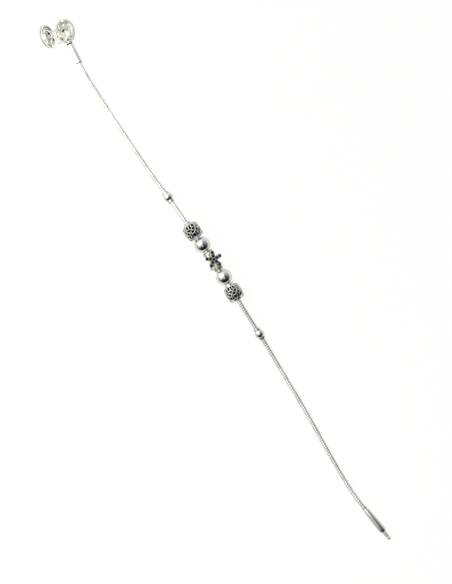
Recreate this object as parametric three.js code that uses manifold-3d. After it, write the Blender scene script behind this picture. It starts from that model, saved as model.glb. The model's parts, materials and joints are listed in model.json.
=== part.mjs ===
// A silver charm bracelet: a snake chain with seven threaded beads, a hinged round snap clasp and a ball tip.
// It lies unfastened and almost straight on a flat surface, with the clasp open.
// Units are millimetres. +X runs along the bracelet from the clasp to the tip and +Z is up.
// The origin is on the surface, under the middle of the bracelet's bounding box.
import * as THREE from 'three';
import { mergeVertices } from 'three/addons/utils/BufferGeometryUtils.js';
import Module from 'manifold-3d';

const wasm = await Module();
wasm.setup();

const RIGHT_ANGLE = Math.PI / 2;
const degrees = THREE.MathUtils.degToRad;

// ---------- Driving dimensions ----------

const CHAIN_RADIUS = 0.75;
const CHAIN_SIDES = 8;
const CHAIN_STEPS = 58;

const THREADED_GAP = 0.3; // between neighbouring beads on the chain
const BEAD_BORE = 1.05;
const BEAD_GROUP_START = -22.03; // where the first flower bead begins, along X

const FLOWER_LENGTH = 6.2;
const FLOWER_RADIUS = 2.87; // of the body under the petals
const FLOWER_RELIEF = 0.18; // how far the petals stand out
const FLOWER_BODY_LENGTH = 4.5;
const FLOWER_BODY_CENTRE = 0.15; // the body is a little off the middle of the bead
const COLLAR_RADIUS = 1.5;

const BALL_RADIUS = 2.7;
const BALL_LIP = 0.25; // the flat ring round each end of a ball's bore

const STAR_BEAD_LENGTH = 7.4;
const STAR_TUBE_RADIUS = 1.45;
const STAR_FLARE = { radius: 1.9, length: 2.4 }; // the wide end, towards the clasp
const STAR_RIM = { radius: 1.6, length: 0.5 }; // the narrow end, towards the tip
const STAR_ARMS = 5;
const STAR_FACE_HEIGHT = 2.2; // from the chain's axis to the face of either star
const STAR_THICKNESS = 0.95;
const STAR_ROLL = degrees(-13); // the bead lies rolled a little round the chain
// Each star's place along the bead, the length and width of its arms, and the direction of one of them.
const FRONT_STAR = { along: -0.25, reach: 2.98, width: 1.3, turn: degrees(89) };
const BACK_STAR = { along: 1.6, reach: 2.05, width: 1.5, turn: degrees(66) };

const STOPPER_RADIUS = 1.6;
const STOPPER_BORE = 0.95;
const STOPPER_TUBE_RADIUS = 1.15;
const STOPPER_LENGTH = 3.9;
const STOPPER_STATIONS = { stopper_bead_upper: -32.4, stopper_bead_lower: 21.6 };

const TIP_START = new THREE.Vector3(88.55, 0.797, 1.2);
const TIP_YAW = degrees(6.7);

// The clasp. Each half is a shallow cup whose rim faces the other half.
const CUP_RADIUS = 4.05;
const CUP_DEPTH = 2.6;
const CUP_WALL = 0.55;
const SEAT_RADIUS = 2.3; // the ring inside the cup that the tip's ball sits in
const SEAT_WALL = 0.4;
const SEAT_TOP = -0.25;
const SEAT_FOOT = -1.95; // inside the thickness of the cup's floor
const RIM_GAP = 0.15; // from each rim to the parting plane between them
const TIP_NOTCH = 0.75;
const SLEEVE_NOTCH = 0.85;
const SLEEVE_POCKET = 1.15;
const HINGE_REACH = 4.3; // from the cup's centre to the hinge axis
const KNUCKLE_RADIUS = 0.4;
const KNUCKLE_LENGTH = 2.0;
const KNUCKLE_GAP = 0.15;
const LUG_DEPTH = 0.4; // of the metal that ties a knuckle to its cup
const PIN_RADIUS = 0.17;
const PIN_BORE = 0.235;
const HINGE_CENTRE = new THREE.Vector3(-97.35, -0.75, 0.47);
const CLASP_YAW = degrees(-15);
const BASE_TILT = degrees(45); // how far the base half leans back from lying flat
const LID_TILT = degrees(58); // how far the lid half leans back on the other side

// The sleeve turns on a small ball held inside the base half.
const SLEEVE_BALL_STATION = 2.45; // from the cup's centre, along the clasp's axis
const SLEEVE_BALL_RADIUS = 0.95;
const SLEEVE_NECK_RADIUS = 0.4;
const SLEEVE_BODY_START = 2.2; // from the ball's centre
const SLEEVE_RADIUS = 1.15;
const SLEEVE_BORE = 0.95;
const SLEEVE_BORE_DEPTH = 2.6;
const SLEEVE_END = new THREE.Vector3(-85.4, 0.75, 3.55);

// The chain's route: x, y and height of its axis. It lifts where a bead or the clasp carries it.
const CHAIN_ROUTE = [
  [-87.38, 0.93, 3.56],
  [-85.4, 0.75, 3.54],
  [-82.4, 0.52, 3.3],
  [-78.4, 0.4, 2.46],
  [-73.7, 0.38, 1.42],
  [-69.0, 0.37, 0.86],
  [-63.1, 0.38, 0.75],
  [-52.6, 0.61, 0.75],
  [-44.7, 0.8, 0.78],
  [-38.4, 1.1, 1.08],
  [-32.4, 1.5, 1.6],
  [-27.4, 1.74, 2.5],
  [-23.4, 1.95, 2.98],
  [-19.0, 2.2, 3.05],
  [-13.1, 2.47, 3.05],
  [-6.8, 2.68, 3.05],
  [-0.4, 2.76, 3.05],
  [5.4, 2.74, 3.05],
  [9.6, 2.67, 3.0],
  [14.4, 2.61, 2.45],
  [21.6, 2.56, 1.6],
  [27.4, 2.44, 1.06],
  [33.4, 2.24, 0.78],
  [40.4, 2.0, 0.75],
  [50.4, 1.68, 0.75],
  [60.8, 1.08, 0.75],
  [68.7, 0.6, 0.75],
  [76.6, 0.28, 0.75],
  [81.9, 0.24, 0.86],
  [85.4, 0.45, 1.12],
  [88.25, 0.757, 1.2],
];

// ---------- Materials ----------

function silver(color, roughness) {
  return new THREE.MeshStandardMaterial({ color, roughness, metalness: 1 });
}

const materials = {
  polished: silver(0xe6e4df, 0.08),
  chain: silver(0xd8d7d2, 0.25),
  oxidised: silver(0x6f6c68, 0.35),
};

// ---------- Solids ----------

// A closed three.js geometry as a manifold solid, and back.
function toSolid(geometry) {
  const bare = geometry.clone();
  bare.deleteAttribute('normal');
  bare.deleteAttribute('uv');
  const merged = mergeVertices(bare, 1e-4);
  return new wasm.Manifold(new wasm.Mesh({
    numProp: 3,
    vertProperties: new Float32Array(merged.attributes.position.array),
    triVerts: new Uint32Array(merged.index.array),
  }));
}

function toGeometry(solid) {
  const mesh = solid.getMesh();
  const geometry = new THREE.BufferGeometry();
  geometry.setAttribute('position', new THREE.BufferAttribute(mesh.vertProperties, 3));
  geometry.setIndex(new THREE.BufferAttribute(mesh.triVerts, 1));
  geometry.computeVertexNormals();
  return geometry;
}

function unite(solids) {
  return solids.reduce((whole, solid) => whole.add(solid));
}

// A turned shape about X. The profile's points are [distance along X, radius].
function turned(profile, segments) {
  const points = profile.map(([along, radius]) => new THREE.Vector2(radius, along));
  return new THREE.LatheGeometry(points, segments).rotateZ(-RIGHT_ANGLE);
}

// The same with a hole through it, so its profile closes on itself along the bore.
function turnedRing(profile, bore, segments) {
  const first = profile[0][0];
  const last = profile[profile.length - 1][0];
  return turned([[first, bore], ...profile, [last, bore], [first, bore]], segments);
}

function cylinderAlongX(radius, from, to, segments = 24) {
  return turned([[from, 0], [from, radius], [to, radius], [to, 0]], segments);
}

// Points on an ellipse between two places along its axis, for a turned profile.
function ellipseProfile(semiLength, semiRadius, from, to, steps) {
  const startAngle = Math.acos(from / semiLength);
  const endAngle = Math.acos(to / semiLength);
  return Array.from({ length: steps + 1 }, (_, i) => {
    const angle = THREE.MathUtils.lerp(startAngle, endAngle, i / steps);
    return [semiLength * Math.cos(angle), semiRadius * Math.sin(angle)];
  });
}

function named(name, geometry, material) {
  const mesh = new THREE.Mesh(geometry, material);
  mesh.name = name;
  return mesh;
}

// ---------- Chain ----------

const chainCurve = new THREE.CatmullRomCurve3(
  CHAIN_ROUTE.map(([x, y, z]) => new THREE.Vector3(x, y, z)),
  false,
  'centripetal',
);

function chainGeometry() {
  const outlineRadius = CHAIN_RADIUS / Math.cos(Math.PI / CHAIN_SIDES / 2);
  const corners = Array.from({ length: CHAIN_SIDES }, (_, i) => {
    const angle = (i + 0.5) * 2 * Math.PI / CHAIN_SIDES;
    return new THREE.Vector2(Math.cos(angle), Math.sin(angle)).multiplyScalar(outlineRadius);
  });
  return new THREE.ExtrudeGeometry(new THREE.Shape(corners), {
    steps: CHAIN_STEPS,
    bevelEnabled: false,
    extrudePath: chainCurve,
  });
}

// The parameter of the point on the chain with this x. The route always advances along X.
function chainParameter(x) {
  let low = 0;
  let high = 1;
  for (let i = 0; i < 40; i += 1) {
    const middle = (low + high) / 2;
    if (chainCurve.getPoint(middle).x < x) low = middle;
    else high = middle;
  }
  return low;
}

// A frame on the chain: its X is the chain's direction and its Z is as near up as that allows.
function threadedAt(x, roll = 0) {
  const parameter = chainParameter(x);
  const direction = chainCurve.getTangent(parameter);
  const side = new THREE.Vector3(0, 0, 1).cross(direction).normalize();
  const up = direction.clone().cross(side);
  const holder = new THREE.Group();
  holder.matrix.makeBasis(direction, side, up);
  holder.quaternion.setFromRotationMatrix(holder.matrix);
  holder.rotateX(roll);
  holder.position.copy(chainCurve.getPoint(parameter));
  return holder;
}

// ---------- Beads ----------

const ballLength = 2 * Math.sqrt(BALL_RADIUS ** 2 - (BEAD_BORE + BALL_LIP) ** 2);

function ballGeometry() {
  const half = ballLength / 2;
  return turnedRing(ellipseProfile(BALL_RADIUS, BALL_RADIUS, -half, half, 14), BEAD_BORE, 28);
}

function stopperGeometry() {
  const half = STOPPER_LENGTH / 2;
  const shoulder = Math.sqrt(STOPPER_RADIUS ** 2 - STOPPER_TUBE_RADIUS ** 2);
  const profile = [
    [-half, STOPPER_TUBE_RADIUS],
    ...ellipseProfile(STOPPER_RADIUS, STOPPER_RADIUS, -shoulder, shoulder, 10),
    [half, STOPPER_TUBE_RADIUS],
  ];
  return turnedRing(profile, STOPPER_BORE, 20);
}

// Points on a drum: an ellipse whose fourth powers make its side nearly flat and its shoulders round.
function drumProfile(semiLength, semiRadius, half, steps) {
  const endAngle = Math.asin(half / semiLength);
  return Array.from({ length: steps + 1 }, (_, i) => {
    const share = Math.sin(THREE.MathUtils.lerp(-endAngle, endAngle, i / steps));
    return [semiLength * share, semiRadius * (1 - share ** 4) ** 0.25];
  });
}

// Rows of round petals: each row is turned half a petal from the next. Along is from the body's middle.
function petalRelief(along, angle) {
  const rows = 4;
  const petals = 9;
  const row = (along / FLOWER_BODY_LENGTH + 0.5) * rows;
  const shift = Math.floor(row) % 2 ? Math.PI / petals : 0;
  const acrossRow = Math.abs(Math.sin(Math.PI * row));
  const acrossPetal = Math.abs(Math.cos((petals * (angle + shift)) / 2));
  return FLOWER_RELIEF * Math.sqrt(acrossRow * acrossPetal);
}

function flowerGeometry() {
  const half = FLOWER_BODY_LENGTH / 2;
  const end = FLOWER_LENGTH / 2;
  const semiLength = half / (1 - (COLLAR_RADIUS / FLOWER_RADIUS) ** 4) ** 0.25;
  const body = drumProfile(semiLength, FLOWER_RADIUS, half, 16);
  const profile = [
    [-end, COLLAR_RADIUS],
    ...body.map(([along, radius]) => [FLOWER_BODY_CENTRE + along, radius]),
    [end, COLLAR_RADIUS],
  ];
  const geometry = turnedRing(profile, BEAD_BORE, 36);
  const position = geometry.attributes.position;
  const point = new THREE.Vector3();
  for (let i = 0; i < position.count; i += 1) {
    point.fromBufferAttribute(position, i);
    const radius = Math.hypot(point.y, point.z);
    if (radius > COLLAR_RADIUS + 0.01) {
      const grown = 1 + petalRelief(point.x - FLOWER_BODY_CENTRE, Math.atan2(point.z, point.y)) / radius;
      position.setXYZ(i, point.x, point.y * grown, point.z * grown);
    }
  }
  return geometry;
}

// A star with round-ended arms, flat in X and Y, centred on the origin.
function starOutline(reach, width, firstTurn) {
  const halfWidth = width / 2;
  const armCentre = reach - halfWidth;
  const rootReach = halfWidth / Math.sin(Math.PI / STAR_ARMS);
  const points = [];
  for (let arm = 0; arm < STAR_ARMS; arm += 1) {
    const turn = firstTurn + arm * 2 * Math.PI / STAR_ARMS;
    const outward = new THREE.Vector2(Math.cos(turn), Math.sin(turn));
    const rootTurn = turn - Math.PI / STAR_ARMS;
    points.push(new THREE.Vector2(Math.cos(rootTurn), Math.sin(rootTurn)).multiplyScalar(rootReach));
    for (let i = 0; i <= 6; i += 1) {
      const sweep = turn - RIGHT_ANGLE + i * Math.PI / 6;
      const corner = new THREE.Vector2(Math.cos(sweep), Math.sin(sweep)).multiplyScalar(halfWidth);
      points.push(corner.addScaledVector(outward, armCentre));
    }
  }
  return new THREE.Shape(points);
}

// A star plate that stands on the bead, with its underside at the given height above the chain's axis.
function starPlate({ along, reach, width, turn }, height) {
  const outline = starOutline(reach, width, turn);
  const plate = new THREE.ExtrudeGeometry(outline, { depth: STAR_THICKNESS, bevelEnabled: false });
  return plate.translate(along, 0, height);
}

function starGeometry() {
  const half = STAR_BEAD_LENGTH / 2;
  const slope = 0.3; // along the bead, between either end and the tube
  const tube = turned([
    [-half, 0],
    [-half, STAR_FLARE.radius],
    [-half + STAR_FLARE.length, STAR_FLARE.radius],
    [-half + STAR_FLARE.length + slope, STAR_TUBE_RADIUS],
    [half - STAR_RIM.length - slope, STAR_TUBE_RADIUS],
    [half - STAR_RIM.length, STAR_RIM.radius],
    [half, STAR_RIM.radius],
    [half, 0],
  ], 24);
  const front = starPlate(FRONT_STAR, STAR_FACE_HEIGHT - STAR_THICKNESS);
  const back = starPlate(BACK_STAR, -STAR_FACE_HEIGHT);
  const bore = cylinderAlongX(BEAD_BORE, -half - 1, half + 1);
  return toGeometry(unite([tube, front, back].map(toSolid)).subtract(toSolid(bore)));
}

// The beads between the stoppers, in the order they are threaded.
const THREADED = [
  { name: 'flower_bead_upper', length: FLOWER_LENGTH, shape: flowerGeometry, material: materials.oxidised },
  { name: 'ball_bead_upper', length: ballLength, shape: ballGeometry, material: materials.polished },
  {
    name: 'star_bead',
    length: STAR_BEAD_LENGTH,
    shape: starGeometry,
    material: materials.polished,
    roll: STAR_ROLL,
  },
  { name: 'ball_bead_lower', length: ballLength, shape: ballGeometry, material: materials.polished },
  { name: 'flower_bead_lower', length: FLOWER_LENGTH, shape: flowerGeometry, material: materials.oxidised },
];

// ---------- End tip ----------

function tipGeometry() {
  const ballRadius = 0.68;
  const ballCentre = 12.6;
  const ball = ellipseProfile(ballRadius, ballRadius, -0.4, ballRadius, 5);
  return turned([
    [0, 0],
    [0, 0.84],
    [0.95, 0.84],
    [1.0, 0.95],
    [3.8, 1.1],
    [7.2, 1.2],
    [9.5, 1.12],
    [9.85, 1.0],
    [10.05, 0.72],
    [10.5, 0.67],
    [11.9, 0.63],
    ...ball.map(([along, radius]) => [ballCentre + along, radius]),
  ], 20);
}

// ---------- Clasp ----------

// A half of the clasp lies with its cup's centre at the origin, its rim in the plane z = 0 and its inside up.
// X is the clasp's axis, and the hinge axis is parallel to it at y = -HINGE_REACH, on the parting plane.
const CUP_SEGMENTS = 36;

// Half of an ellipsoid below z = 0, with a plain cylinder of the given height above it.
function bowl(radius, depth, above) {
  const steps = 7;
  const points = Array.from({ length: steps + 1 }, (_, i) => {
    const angle = RIGHT_ANGLE * i / steps;
    return new THREE.Vector2(radius * Math.sin(angle), -depth * Math.cos(angle));
  });
  points[0].x = 0;
  if (above > 0) points.push(new THREE.Vector2(radius, above));
  points.push(new THREE.Vector2(0, above));
  return new THREE.LatheGeometry(points, CUP_SEGMENTS).rotateX(RIGHT_ANGLE);
}

function block(x0, x1, y0, y1, z0, z1) {
  const box = new THREE.BoxGeometry(x1 - x0, y1 - y0, z1 - z0);
  return box.translate((x0 + x1) / 2, (y0 + y1) / 2, (z0 + z1) / 2);
}

function hingeCylinder(radius, from, to, segments = 16) {
  return cylinderAlongX(radius, from, to, segments).translate(0, -HINGE_REACH, RIM_GAP);
}

// A knuckle of the hinge, and the lug that ties it to the cup.
function knuckle([from, to]) {
  const lug = block(from, to, -HINGE_REACH + KNUCKLE_RADIUS / 2, -SEAT_RADIUS, -LUG_DEPTH, 0);
  return toSolid(hingeCylinder(KNUCKLE_RADIUS, from, to)).add(toSolid(lug));
}

function seatRing() {
  const outer = cylinderAlongX(SEAT_RADIUS, SEAT_FOOT, SEAT_TOP, CUP_SEGMENTS);
  const inner = cylinderAlongX(SEAT_RADIUS - SEAT_WALL, -CUP_DEPTH, 1, CUP_SEGMENTS);
  const [ring, middle] = [outer, inner].map((geometry) => toSolid(geometry.rotateY(-RIGHT_ANGLE)));
  return ring.subtract(middle);
}

// The channel along the clasp's axis: a notch and seat for the tip, then the sleeve's pocket and notch.
function channel() {
  const end = CUP_RADIUS + 1;
  const pocketStart = 0.8;
  const pocketEnd = CUP_RADIUS - CUP_WALL - 0.05;
  return turned([
    [-end, 0],
    [-end, TIP_NOTCH],
    [pocketStart, TIP_NOTCH],
    [pocketStart + 0.4, SLEEVE_POCKET],
    [pocketEnd, SLEEVE_POCKET],
    [pocketEnd, SLEEVE_NOTCH],
    [end, SLEEVE_NOTCH],
    [end, 0],
  ], 20).translate(0, 0, RIM_GAP);
}

// A slot through the floor of the cup, under the tip's ball.
function floorSlot() {
  return new THREE.SphereGeometry(1, 16, 10).scale(0.85, 0.42, 1.5).translate(-0.7, 0, -CUP_DEPTH);
}

// The lid's spring tongue, which snaps inside the base's rim, and its root in the lid's wall.
function snapTongue() {
  const blade = block(-0.8, 0.8, 2.8, 3.05, -0.5, 0.8);
  const root = block(-0.8, 0.8, 2.8, 3.7, -0.55, -0.1);
  return toSolid(blade).add(toSolid(root));
}

function claspHalf({ ownKnuckles, otherKnuckles, chainEndTurn, extras }) {
  const cup = unite([toSolid(bowl(CUP_RADIUS, CUP_DEPTH, 0)), ...ownKnuckles.map(knuckle)]);
  const hollow = toSolid(bowl(CUP_RADIUS - CUP_WALL, CUP_DEPTH - CUP_WALL, 1));
  const fitted = unite([cup.subtract(hollow), seatRing(), ...extras]);
  const reliefs = otherKnuckles.map(([from, to]) => {
    return hingeCylinder(KNUCKLE_RADIUS + KNUCKLE_GAP, from - KNUCKLE_GAP, to + KNUCKLE_GAP);
  });
  const cuts = [
    channel().rotateZ(chainEndTurn),
    floorSlot().rotateZ(chainEndTurn),
    hingeCylinder(PIN_BORE, -CUP_RADIUS, CUP_RADIUS, 12),
    ...reliefs,
  ];
  return toGeometry(fitted.subtract(unite(cuts.map(toSolid))));
}

const middleKnuckle = [[-KNUCKLE_LENGTH / 2, KNUCKLE_LENGTH / 2]];
const outerKnuckles = [-1, 1].map((side) => {
  const centre = side * (KNUCKLE_LENGTH + KNUCKLE_GAP);
  return [centre - KNUCKLE_LENGTH / 2, centre + KNUCKLE_LENGTH / 2];
});
const pinLength = 3 * KNUCKLE_LENGTH + 2 * KNUCKLE_GAP;

// A group whose origin is a cup's centre, leaning back about the hinge on the side that the turn chooses.
function claspSide(turn, tilt) {
  const side = new THREE.Group();
  side.position.copy(HINGE_CENTRE);
  side.rotateZ(CLASP_YAW + turn);
  side.rotateX(tilt);
  side.translateY(HINGE_REACH);
  side.translateZ(-RIM_GAP);
  side.updateMatrixWorld();
  return side;
}

function sleeveGeometry(endStation) {
  const boreEnd = endStation - SLEEVE_BORE_DEPTH;
  const ballEnd = Math.sqrt(SLEEVE_BALL_RADIUS ** 2 - SLEEVE_NECK_RADIUS ** 2);
  return turned([
    ...ellipseProfile(SLEEVE_BALL_RADIUS, SLEEVE_BALL_RADIUS, -SLEEVE_BALL_RADIUS, ballEnd, 8),
    [SLEEVE_BODY_START, SLEEVE_NECK_RADIUS],
    [SLEEVE_BODY_START, SLEEVE_RADIUS - 0.15],
    [SLEEVE_BODY_START + 0.15, SLEEVE_RADIUS],
    [endStation, SLEEVE_RADIUS],
    [endStation, SLEEVE_BORE],
    [boreEnd, SLEEVE_BORE],
    [boreEnd, 0],
  ], 20);
}

// ---------- Assembly ----------

function aimed(position, direction) {
  const holder = new THREE.Group();
  holder.position.copy(position);
  holder.quaternion.setFromUnitVectors(new THREE.Vector3(1, 0, 0), direction.clone().normalize());
  return holder;
}

function buildClasp() {
  const clasp = new THREE.Group();
  const baseSide = claspSide(0, BASE_TILT);
  const lidSide = claspSide(Math.PI, LID_TILT);
  const base = claspHalf({
    ownKnuckles: outerKnuckles,
    otherKnuckles: middleKnuckle,
    chainEndTurn: 0,
    extras: [],
  });
  const lid = claspHalf({
    ownKnuckles: middleKnuckle,
    otherKnuckles: outerKnuckles,
    chainEndTurn: Math.PI,
    extras: [snapTongue()],
  });
  baseSide.add(named('clasp_base', base, materials.polished));
  const pin = hingeCylinder(PIN_RADIUS, -pinLength / 2, pinLength / 2, 12);
  baseSide.add(named('hinge_pin', pin, materials.polished));
  lidSide.add(named('clasp_lid', lid, materials.polished));

  const pivot = baseSide.localToWorld(new THREE.Vector3(SLEEVE_BALL_STATION, 0, RIM_GAP));
  const reach = SLEEVE_END.clone().sub(pivot);
  const sleeveHolder = aimed(pivot, reach);
  sleeveHolder.add(named('clasp_sleeve', sleeveGeometry(reach.length()), materials.polished));
  clasp.add(baseSide, lidSide, sleeveHolder);
  return clasp;
}

function buildThreadedBeads() {
  const beads = new THREE.Group();
  let start = BEAD_GROUP_START;
  for (const { name, length, shape, material, roll } of THREADED) {
    const holder = threadedAt(start + length / 2, roll);
    holder.add(named(name, shape(), material));
    beads.add(holder);
    start += length + THREADED_GAP;
  }
  for (const [name, station] of Object.entries(STOPPER_STATIONS)) {
    const holder = threadedAt(station);
    holder.add(named(name, stopperGeometry(), materials.polished));
    beads.add(holder);
  }
  return beads;
}

function buildTip() {
  const holder = aimed(TIP_START, new THREE.Vector3(Math.cos(TIP_YAW), Math.sin(TIP_YAW), 0));
  holder.add(named('end_tip', tipGeometry(), materials.polished));
  return holder;
}

const bracelet = new THREE.Group();
bracelet.add(
  buildClasp(),
  named('snake_chain', chainGeometry(), materials.chain),
  buildThreadedBeads(),
  buildTip(),
);

export default bracelet;
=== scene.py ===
# %% [markdown]
# # A silver charm bracelet
#
# The bracelet lies open on a pale table: a round snap clasp at one end, a slim ball-ended tip at the
# other, and a snake chain between them that carries seven threaded beads.
# The engineering model is loaded first and never moved. Every piece below is built in metres in
# the same space, so each one is placed by the same few dimensions that the model was made from.

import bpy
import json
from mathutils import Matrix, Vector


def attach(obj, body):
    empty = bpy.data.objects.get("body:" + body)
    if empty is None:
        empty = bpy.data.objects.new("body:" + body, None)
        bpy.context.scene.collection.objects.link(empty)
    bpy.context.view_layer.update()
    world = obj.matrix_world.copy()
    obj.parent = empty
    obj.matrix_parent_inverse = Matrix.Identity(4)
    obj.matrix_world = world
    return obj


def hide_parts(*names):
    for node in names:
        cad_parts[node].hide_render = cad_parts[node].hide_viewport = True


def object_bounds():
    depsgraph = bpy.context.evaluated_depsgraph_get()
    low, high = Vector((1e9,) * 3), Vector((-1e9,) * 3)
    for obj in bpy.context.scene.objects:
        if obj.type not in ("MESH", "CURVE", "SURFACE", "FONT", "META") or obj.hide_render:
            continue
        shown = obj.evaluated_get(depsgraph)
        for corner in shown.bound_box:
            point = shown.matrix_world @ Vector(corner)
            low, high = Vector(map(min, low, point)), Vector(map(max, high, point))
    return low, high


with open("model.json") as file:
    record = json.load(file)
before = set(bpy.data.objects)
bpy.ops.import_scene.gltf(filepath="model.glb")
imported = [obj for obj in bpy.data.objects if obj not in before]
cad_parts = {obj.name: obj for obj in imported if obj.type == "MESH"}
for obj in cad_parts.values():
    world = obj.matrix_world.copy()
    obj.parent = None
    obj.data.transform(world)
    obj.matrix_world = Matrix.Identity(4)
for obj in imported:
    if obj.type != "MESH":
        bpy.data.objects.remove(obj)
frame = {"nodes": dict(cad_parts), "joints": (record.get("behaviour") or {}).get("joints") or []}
cad_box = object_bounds()
print("nodes:", ", ".join(sorted(frame["nodes"])))

# %% [markdown]
# ## Small tools
#
# Jewellery is drawn in millimetres and Blender works in metres, so one constant converts. The
# other helpers are the ones that every piece needs: a new object from points and faces, smooth
# shading that still respects hard edges, a skin between rings of points, many small shapes gathered
# into one, and a place on one of the model's two bodies, the bracelet and the clasp's lid.

# %% Tools that every piece uses
import bisect
import json
import math
import random

import bmesh
import bpy
from mathutils import Matrix, Vector

MM = 0.001
UP = Vector((0.0, 0.0, 1.0))
CREASE = math.radians(32)


def new_piece(name, points, faces, material):
    """An object from points in millimetres, with smooth faces and creases at its hard edges."""
    mesh = bpy.data.meshes.new(name)
    mesh.from_pydata([Vector(p) * MM for p in points], [], faces)
    mesh.update()
    piece = bpy.data.objects.new(name, mesh)
    bpy.context.scene.collection.objects.link(piece)
    finish_surface(piece, material)
    return piece


def finish_surface(piece, material):
    """Faces turned outward, smooth shading with creases, and the material."""
    shape = bmesh.new()
    shape.from_mesh(piece.data)
    bmesh.ops.recalc_face_normals(shape, faces=shape.faces)
    shape.to_mesh(piece.data)
    shape.free()
    piece.data.shade_smooth()
    piece.data.set_sharp_from_angle(angle=CREASE)
    piece.data.materials.clear()
    piece.data.materials.append(material)


def skin(rings, count):
    """The faces between rings of count points that are listed one ring after another."""
    faces = []
    for low in range(0, (rings - 1) * count, count):
        for k in range(count):
            j = (k + 1) % count
            faces.append((low + k, low + j, low + count + j, low + count + k))
    return faces


def sized(points, size, at):
    """Points stretched by a size along each axis, and then moved."""
    return [tuple(s * p + a for s, p, a in zip(size, point, at)) for point in points]


def gathered(shapes):
    """The points and faces of several shapes, as those of one."""
    points = []
    faces = []
    for new_points, new_faces in shapes:
        base = len(points)
        points.extend(new_points)
        faces.extend(tuple(base + i for i in face) for face in new_faces)
    return points, faces


def settle(piece, place, *nodes, body="bracelet", slot="polished_silver"):
    """Puts a piece in its place on a body and hides the CAD nodes it stands for; its slot is not used."""
    piece.matrix_world = place
    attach(piece, body)
    if nodes:
        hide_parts(*nodes)
    print(f"{piece.name}: {len(piece.data.polygons)} faces on {body}")


# %% [markdown]
# ## Turned profiles
#
# Balls, collars, tubes and the tip are all lathe work on the real bracelet. A jeweller turns the
# profile and then polishes it, which takes the bite off every edge. `soften` does the same to a
# drawn profile before `turned` spins it, because a crisp mathematical corner never catches light.

# %% Soften a profile and turn it
ON_AXIS = 1e-6
STRAIGHT = math.radians(14)


def arc(radius, from_degrees, to_degrees, steps, centre=0.0):
    """Points on a circle for a profile: 180 degrees is its low end along the axis, 0 its high end."""
    points = []
    for i in range(steps + 1):
        angle = math.radians(from_degrees + (to_degrees - from_degrees) * i / steps)
        points.append((centre + radius * math.cos(angle), radius * math.sin(angle)))
    return points


def soften(profile, reach, steps=3):
    """The profile with each corner off the axis rounded, starting at most reach before it."""
    corners = [Vector(p) for p in profile]
    rounded = []
    for i, corner in enumerate(corners):
        before = corners[i - 1] - corner
        after = corners[(i + 1) % len(corners)] - corner
        if corner.y < ON_AXIS or before.angle(-after, 0.0) < STRAIGHT:
            rounded.append(corner)
            continue
        cut = min(reach, before.length * 0.45, after.length * 0.45)
        start = corner + before.normalized() * cut
        end = corner + after.normalized() * cut
        for k in range(steps + 1):
            t = k / steps
            rounded.append(start.lerp(corner, t).lerp(corner.lerp(end, t), t))
    return rounded


def band(low, high, inner, outer, reach, steps=3):
    """The softened section of a plain ring, from low to high along the axis."""
    return soften([(low, inner), (low, outer), (high, outer), (high, inner)], reach, steps=steps)


def turned(name, profile, segments, material):
    """A closed profile of (distance along X, radius) spun about X. It may touch the axis."""
    points = []
    rings = []
    for along, radius in profile:
        if radius < ON_AXIS:
            rings.append([len(points)] * segments)
            points.append((along, 0.0, 0.0))
            continue
        rings.append([len(points) + k for k in range(segments)])
        for k in range(segments):
            angle = 2 * math.pi * k / segments
            points.append((along, radius * math.cos(angle), radius * math.sin(angle)))
    faces = []
    for one, two in zip(rings, [*rings[1:], rings[0]]):
        for k in range(segments):
            j = (k + 1) % segments
            corners = dict.fromkeys((one[k], one[j], two[j], two[k]))
            if len(corners) > 2:
                faces.append(tuple(corners))
    return new_piece(name, points, faces, material)


# %% [markdown]
# ## Materials
#
# Everything metal here is sterling silver; what differs is how it was finished. A polished surface
# is never a perfect mirror: the buffing wheel leaves slow waves, hairline scratches and a faint
# warm bloom of tarnish. Each of those is one noise texture, at its own scale, feeding the colour,
# the roughness or a very shallow bump.

# %% A node helper
def node(tree, kind, inputs=None, **settings):
    """Adds a node. Inputs are numbers or colours to set, or sockets to link from."""
    made = tree.nodes.new(kind)
    for key, value in settings.items():
        setattr(made, key, value)
    for key, value in (inputs or {}).items():
        if isinstance(value, bpy.types.NodeSocket):
            tree.links.new(value, made.inputs[key])
        else:
            made.inputs[key].default_value = value
    return made


def noise(tree, place, **settings):
    """A noise texture's grey value at a place. Settings are its plain values."""
    inputs = {"Vector": place, **{key.title(): value for key, value in settings.items()}}
    return node(tree, "ShaderNodeTexNoise", inputs).outputs["Fac"]


def calculated(tree, operation, *values):
    """The result of one sum on numbers or sockets."""
    return node(tree, "ShaderNodeMath", dict(enumerate(values)), operation=operation).outputs[0]


def scaled(tree, value, low, high, new_low=0.0, new_high=1.0):
    """A value between low and high, brought to lie between new_low and new_high."""
    inputs = {"Value": value, "From Min": low, "From Max": high, "To Min": new_low, "To Max": new_high}
    return node(tree, "ShaderNodeMapRange", inputs).outputs["Result"]


def ramp(tree, factor, stops):
    """A colour ramp through (position, colour) stops. A plain number is a grey."""
    made = node(tree, "ShaderNodeValToRGB", {"Fac": factor})
    elements = made.color_ramp.elements
    while len(elements) < len(stops):
        elements.new(0.5)
    for element, (position, colour) in zip(elements, stops):
        element.position = position
        element.color = (colour,) * 3 + (1.0,) if isinstance(colour, float) else (*colour, 1.0)
    return made.outputs["Color"]


def blank_material(name, **settings):
    """A material's Principled shader, its node tree, the place on its piece, and the material."""
    material = bpy.data.materials.new(name)
    material.use_nodes = True
    tree = material.node_tree
    shader = tree.nodes["Principled BSDF"]
    for key, value in settings.items():
        shader.inputs[key].default_value = value
    return shader, tree, node(tree, "ShaderNodeTexCoord").outputs["Object"], material


# %% Silver with tarnish, wear and hairline scratches
SILVER_BRIGHT = (0.88, 0.872, 0.845)
SILVER_WARM = (0.76, 0.71, 0.6)
SCRATCH_DEPTH = 0.00001


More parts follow.
